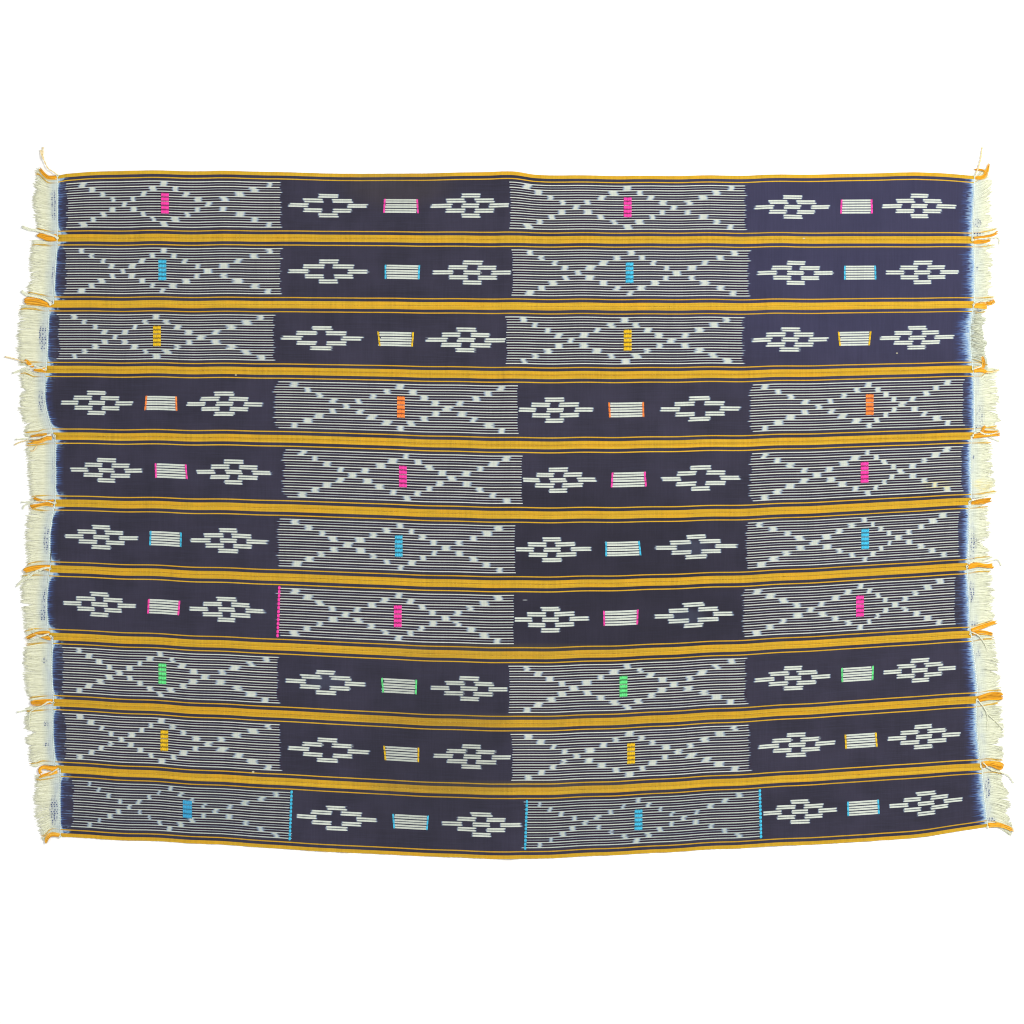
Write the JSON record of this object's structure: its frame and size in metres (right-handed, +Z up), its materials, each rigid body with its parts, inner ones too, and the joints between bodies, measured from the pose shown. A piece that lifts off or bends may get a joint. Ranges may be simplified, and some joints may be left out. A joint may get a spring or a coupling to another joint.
{
  "type": "wrapper cloth",
  "caption": "Strip-woven cotton wrapper cloth laid flat: narrow indigo ikat strips sewn edge to edge with gold borders, brocade bars and fringed ends.",
  "frame": {"origin": "on the surface the cloth lies on, under the middle of its bounding box", "axes": "+X along the woven strips, +Y across them towards the first strip, +Z up off the surface"},
  "size_m": [1.55, 1.0856, 0.005],
  "materials": {
    "indigo_ikat_cotton": "matte warp-faced cotton",
    "cream_warp_fringe": "matte loose cotton yarn"
  },
  "bodies": {
    "root": {"strip_01": "indigo_ikat_cotton", "strip_02": "indigo_ikat_cotton", "strip_03": "indigo_ikat_cotton", "strip_04": "indigo_ikat_cotton", "strip_05": "indigo_ikat_cotton", "strip_06": "indigo_ikat_cotton", "strip_07": "indigo_ikat_cotton", "strip_08": "indigo_ikat_cotton", "strip_09": "indigo_ikat_cotton", "strip_10": "indigo_ikat_cotton", "fringe_left_01": "cream_warp_fringe", "fringe_left_02": "cream_warp_fringe", "fringe_left_03": "cream_warp_fringe", "fringe_left_04": "cream_warp_fringe", "fringe_left_05": "cream_warp_fringe", "fringe_left_06": "cream_warp_fringe", "fringe_left_07": "cream_warp_fringe", "fringe_left_08": "cream_warp_fringe", "fringe_left_09": "cream_warp_fringe", "fringe_left_10": "cream_warp_fringe", "fringe_right_01": "cream_warp_fringe", "fringe_right_02": "cream_warp_fringe", "fringe_right_03": "cream_warp_fringe", "fringe_right_04": "cream_warp_fringe", "fringe_right_05": "cream_warp_fringe", "fringe_right_06": "cream_warp_fringe", "fringe_right_07": "cream_warp_fringe", "fringe_right_08": "cream_warp_fringe", "fringe_right_09": "cream_warp_fringe", "fringe_right_10": "cream_warp_fringe"}
  },
  "joints": []
}
